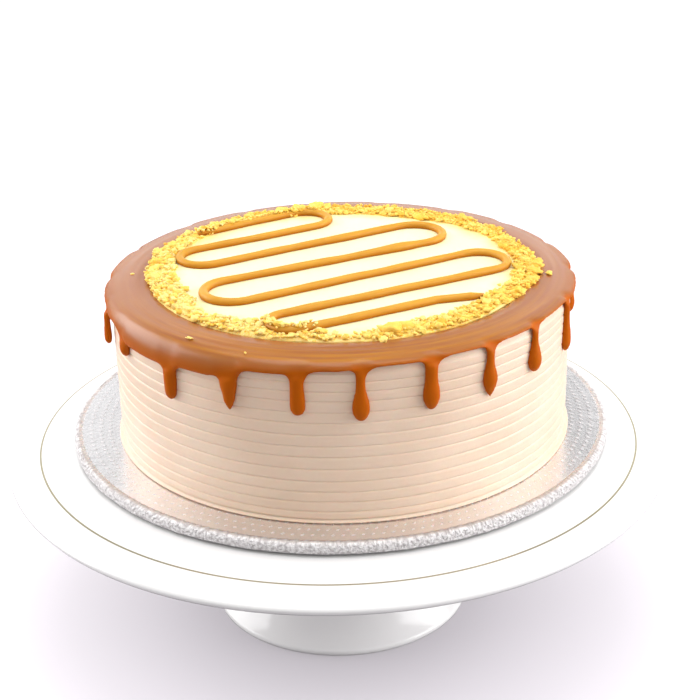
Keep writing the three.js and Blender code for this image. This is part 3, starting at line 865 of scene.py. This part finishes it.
def bank_mesh():
    """The bank of dust: a grid bent round into a ring, sunk where the crumbs are thin. Its last
    edges lie on its first ones, to be joined once each face has its colour."""
    bm = bmesh.new()
    around = BANK_ROWS + 2
    bmesh.ops.create_grid(bm, x_segments=around, y_segments=BANK_STEPS, size=1)
    bmesh.ops.reverse_faces(bm, faces=bm.faces)
    for vert in bm.verts:
        row = round((vert.co.x + 1) / 2 * around) % around - 1
        step = round((vert.co.y + 1) / 2 * BANK_STEPS) % BANK_STEPS
        angle = math.tau * step / BANK_STEPS - math.pi
        way = Vector((math.cos(angle), math.sin(angle), 0))
        inner, outer, thickness = crumb_band_at(math.degrees(angle))
        across = min(max(row / (BANK_ROWS - 1), 0), 1)
        radius = inner + (outer - inner) * across
        height = BANK_BOTTOM
        if 0 <= row < BANK_ROWS:
            radius += BANK_RAGGEDNESS * noise.noise(way * 26 + Vector((0, 0, across)))
            place = way * radius * 1000
            rough = 0.8 + 0.9 * noise.noise(place * 0.42) + 0.7 * noise.noise(place * 1.1)
            full = math.sqrt(math.sin(math.pi * across)) * smoothstep(thickness - BANK_GONE, BANK_BLEND)
            height = surface_at(radius) - BANK_SUNK + BANK_HEIGHT * full * rough
        vert.co = way * radius + Vector((0, 0, height))
    return bm


def corners_and_faces(bm):
    """The places of a mesh's corners, and the corners of each of its faces. Ends the mesh."""
    bm.verts.index_update()
    corners = [vert.co.copy() for vert in bm.verts]
    faces = [[vert.index for vert in face.verts] for face in bm.faces]
    bm.free()
    return corners, faces


def browner(x, y):
    """How much browner the crumbs are towards the right and the back, and paler opposite."""
    return 0.2 * (x + 0.7 * y) / math.hypot(x, y)


def crumb_shapes(chance, count, detail):
    """A few broken crumbs of one unit's size: balls of few faces, knocked out of round."""
    shapes = []
    for _ in range(count):
        bm = bmesh.new()
        bmesh.ops.create_icosphere(bm, subdivisions=detail, radius=1)
        seed = Vector([chance.uniform(0, 90) for _ in range(3)])
        stretch = Vector([chance.uniform(low, high) for low, high in CRUMB_STRETCH])
        for vert in bm.verts:
            knock = noise.noise(vert.co * 1.5 + seed) + 0.5 * noise.noise(vert.co * 3.6 + seed)
            vert.co *= stretch * (1 + CRUMB_BROKENNESS * knock)
        shapes.append(corners_and_faces(bm))
    return shapes


def crumbs_mesh():
    """The ring: the bank of dust, the crumbs in it by size, then the large and stray ones.
    Each crumb keeps one number, how brown it is baked, for its colour."""
    chance = random.Random(11)
    tilt = Matrix.Rotation(math.radians(PIPING_TILT), 2)
    bead = [tilt @ Vector(point) for point in piping_line()]
    corners, faces = corners_and_faces(bank_mesh())
    bank_corners = len(corners)
    bakes = [chance.random() * 0.4 + browner(*corners[face[0]].xy) for face in faces]

    def lay(shape, degrees, radius, size, lift, bake):
        """Adds one crumb at a place, turned by chance, on whatever lies under it."""
        x, y = radius * math.cos(math.radians(degrees)), radius * math.sin(math.radians(degrees))
        under = max(surface_at(radius), on_bead(bead, x, y))
        middle = Vector((x, y, under + size * 0.3 + lift))
        turn = Matrix.Rotation(chance.uniform(0, math.tau), 3, "Z")
        turn = turn @ Matrix.Rotation(chance.uniform(-0.6, 0.6), 3, "X")
        start = len(corners)
        for corner in shape[0]:
            place = turn @ corner * size + middle
            place.z = min(place.z, CRUMB_CEILING)
            corners.append(place)
        faces.extend([[start + i for i in face] for face in shape[1]])
        bakes.extend([bake + browner(x, y)] * len(shape[1]))

    for count, low, high, detail, heap in CRUMB_SIZES:
        shapes = crumb_shapes(chance, CRUMB_SHAPES, detail)
        for _ in range(count):
            degrees = chance.uniform(-180, 180)
            inner, outer, thickness = crumb_band_at(degrees)
            if chance.random() > thickness:
                continue
            way = Vector((math.cos(math.radians(degrees)), math.sin(math.radians(degrees)), 0))
            ragged = CRUMB_RAGGEDNESS * noise.noise(way * 16 + Vector((0, 0, 4)))
            across = chance.random()
            radius = inner + (outer - inner) * across + ragged
            lay(chance.choice(shapes), degrees, radius, chance.uniform(low, high),
                chance.uniform(0, heap), chance.random() ** 3 + 0.2 * across)
    large = crumb_shapes(chance, LARGE_SHAPES, 3)
    for degrees, radius, size, bake in SINGLE_CRUMBS:
        lay(chance.choice(large), degrees, radius, size, 0, bake)
    carrier = bpy.data.meshes.new("carrier")
    carrier.from_pydata(corners, [], faces)
    carrier.attributes.new("bake", "FLOAT", "FACE").data.foreach_set("value", bakes)
    bm = bmesh.new()
    bm.from_mesh(carrier)
    bpy.data.meshes.remove(carrier)
    bmesh.ops.remove_doubles(bm, verts=bm.verts[:bank_corners], dist=1e-8)
    bmesh.ops.translate(bm, verts=bm.verts, vec=(*CAKE_CENTRE, 0))
    return bm


def crumb_finish():
    """Dry yellow sponge, pale where broken and amber where baked."""
    finish, tree, shader = new_finish("yellow_sponge_crumb", 0.8)
    shader.inputs["Subsurface Weight"].default_value = 0.3
    shader.inputs["Subsurface Radius"].default_value = (1.0, 0.7, 0.25)
    shader.inputs["Subsurface Scale"].default_value = 0.0004
    tone, pores = add_tone(tree, (0.92, 0.68, 0.17), (0.88, 0.55, 0.06), 120, 1800, 0.7)
    bake = tree.nodes.new("ShaderNodeAttribute")
    bake.attribute_name = "bake"
    pale = add_range(tree, bake.outputs["Fac"], 0.25, -0.25)
    baked = add_range(tree, bake.outputs["Fac"], 0.3, 1.2)
    broken = add_mix(tree, pale, tone, (0.94, 0.75, 0.30))
    tree.links.new(add_mix(tree, baked, broken, (0.79, 0.41, 0.03)), shader.inputs["Base Color"])
    add_bump(tree, shader, pores, 0.00015)
    return finish


piece("sponge_crumbs", crumbs_mesh(), crumb_finish(), ["cream_top"])

# ---- Floor, light and camera -------------------------------------------------
# A studio table whose colour is a glow that the camera alone sees: dim under the plate as painted shadow,
# rising to plain white further out. Broad soft lights stand behind the cake at both sides and above, so
# its front is the darker side.

FLOOR_HALF_WIDTH = 8
# what the lights face
LIT_POINT = (0, 0, 0.12)
# degrees: up from looking straight down, sideways lean, and turn
CAMERA_ANGLES = (66.62415, 1.15892, -1.08920)
CAMERA_PLACE = (0, -0.62852, 0.40081)


def floor():
    """The table, its colour a painted glow seen by the camera alone: dim near the plate as painted
    shadow, plain white further out.
    """
    bm = bmesh.new()
    bmesh.ops.create_grid(bm, x_segments=1, y_segments=1, size=FLOOR_HALF_WIDTH)
    mesh = bpy.data.meshes.new("floor")
    bm.to_mesh(mesh)
    bm.free()
    made = bpy.data.objects.new("floor", mesh)
    bpy.context.scene.collection.objects.link(made)
    finish, tree, shader = new_finish("table_with_painted_glow", 0.9)
    shader.inputs["Base Color"].default_value = (0.28, 0.26, 0.285, 1)
    shader.inputs["Emission Color"].default_value = (1, 0.955, 1, 1)
    _, radius, _ = add_round_place(tree)
    seen = tree.nodes.new("ShaderNodeLightPath").outputs["Is Camera Ray"]
    # painted light: the glow, for the camera alone, is weak near the plate as painted shadow and strong
    # further out, where it paints the table white
    painted_glow = add_math(tree, "MULTIPLY", add_range(tree, radius, 0.05, 0.19, 0.25, 0.86), seen)
    tree.links.new(painted_glow, shader.inputs["Emission Strength"])
    mesh.materials.append(finish)


def soft_light(name, azimuth, elevation, distance, size, power):
    """A square softbox that faces the cake from one direction, in degrees."""
    lamp = bpy.data.lights.new(name, "AREA")
    lamp.shape = "SQUARE"
    lamp.size = size
    lamp.energy = power
    made = bpy.data.objects.new(name, lamp)
    bpy.context.scene.collection.objects.link(made)
    around, up = math.radians(azimuth), math.radians(elevation)
    away = Vector((math.cos(up) * math.cos(around), math.cos(up) * math.sin(around), math.sin(up)))
    made.location = Vector(LIT_POINT) + away * distance
    made.rotation_euler = (-away).to_track_quat("-Z", "Y").to_euler()


floor()
soft_light("left_softbox", 167, 20, 1.1, 0.95, 12)
soft_light("right_softbox", -8, 20, 1.1, 0.95, 13.5)
soft_light("top_softbox", 90, 84, 1.2, 0.9, 8.5)

# the studio round the cake: plain white to the camera, and for the light a backdrop lit from
# the table up, higher at both sides, with a soft fill from high in front
world = bpy.data.worlds.new("studio")
bpy.context.scene.world = world
world.use_nodes = True
sky = world.node_tree
sky.nodes["Background"].inputs["Color"].default_value = (1, 1, 1, 1)
split = sky.nodes.new("ShaderNodeSeparateXYZ")
sky.links.new(sky.nodes.new("ShaderNodeTexCoord").outputs["Generated"], split.inputs["Vector"])
low_down = add_range(sky, split.outputs["Z"], 0.36, 0.395, 1.2, 0.12)
halfway_up = add_range(sky, split.outputs["Z"], 0.5, 0.65, 1.2, 0.12)
beside = add_math(sky, "MAXIMUM", add_range(sky, split.outputs["X"], -0.09, -0.13),
                  add_range(sky, split.outputs["X"], 0.15, 0.18))
behind = add_range(sky, split.outputs["Y"], -0.6, 0.2, 0.1, 1.0)
in_front = add_math(sky, "MULTIPLY", add_range(sky, split.outputs["Y"], -0.6, 0.0, 0.8, 0.1),
                    add_range(sky, split.outputs["Z"], -0.1, 0.4, 0.3, 1.3))
seen = sky.nodes.new("ShaderNodeLightPath").outputs["Is Camera Ray"]
lit = add_math(sky, "MAXIMUM", low_down, add_math(sky, "MULTIPLY", halfway_up, beside))
lit = add_math(sky, "MAXIMUM", add_math(sky, "MULTIPLY", lit, behind), in_front)
lit = add_math(sky, "MAXIMUM", lit, seen)
sky.links.new(lit, sky.nodes["Background"].inputs["Strength"])

camera = bpy.data.objects.new("camera", bpy.data.cameras.new("camera"))
bpy.context.scene.collection.objects.link(camera)
camera.data.lens = 74.571
camera.data.sensor_width = 36
camera.data.clip_start = 0.05
camera.location = CAMERA_PLACE
camera.rotation_euler = [math.radians(angle) for angle in CAMERA_ANGLES]
bpy.context.scene.camera = camera
bpy.context.scene.view_settings.view_transform = "Standard"
